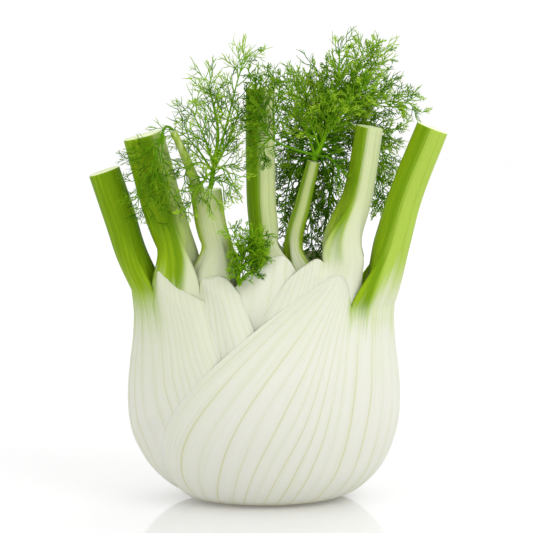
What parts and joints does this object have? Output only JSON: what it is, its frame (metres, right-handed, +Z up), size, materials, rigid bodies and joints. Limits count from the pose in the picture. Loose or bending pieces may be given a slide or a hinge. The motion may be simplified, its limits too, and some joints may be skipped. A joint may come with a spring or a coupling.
{
  "type": "fennel bulb",
  "caption": "Fennel bulb standing on its trimmed base: white sheaths wrapped over each other, cut green stalks and feathery fronds.",
  "frame": {"origin": "middle of the flat cut face under the stem, on the ground", "axes": "+Z up along the bulb, front of the bulb towards -Y, the row of stalks fans out along X"},
  "size_m": [0.1371, 0.0737, 0.1806],
  "materials": {
    "stem": "dull, moist cut",
    "outer_leaf": "satin",
    "pale_leaf": "satin",
    "inner_leaf": "satin",
    "frond": "matte",
    "shaded_frond": "matte"
  },
  "bodies": {
    "root": {"stem_plate": "stem", "leaf_right_outer": "outer_leaf", "leaf_left_outer": "outer_leaf", "leaf_left_second": "outer_leaf", "leaf_right_second": "pale_leaf", "leaf_left_third": "pale_leaf", "leaf_right_third": "inner_leaf", "leaf_middle": "inner_leaf", "frond_large": "frond", "frond_left": "frond", "frond_hanging": "shaded_frond", "frond_young": "shaded_frond"}
  },
  "joints": []
}
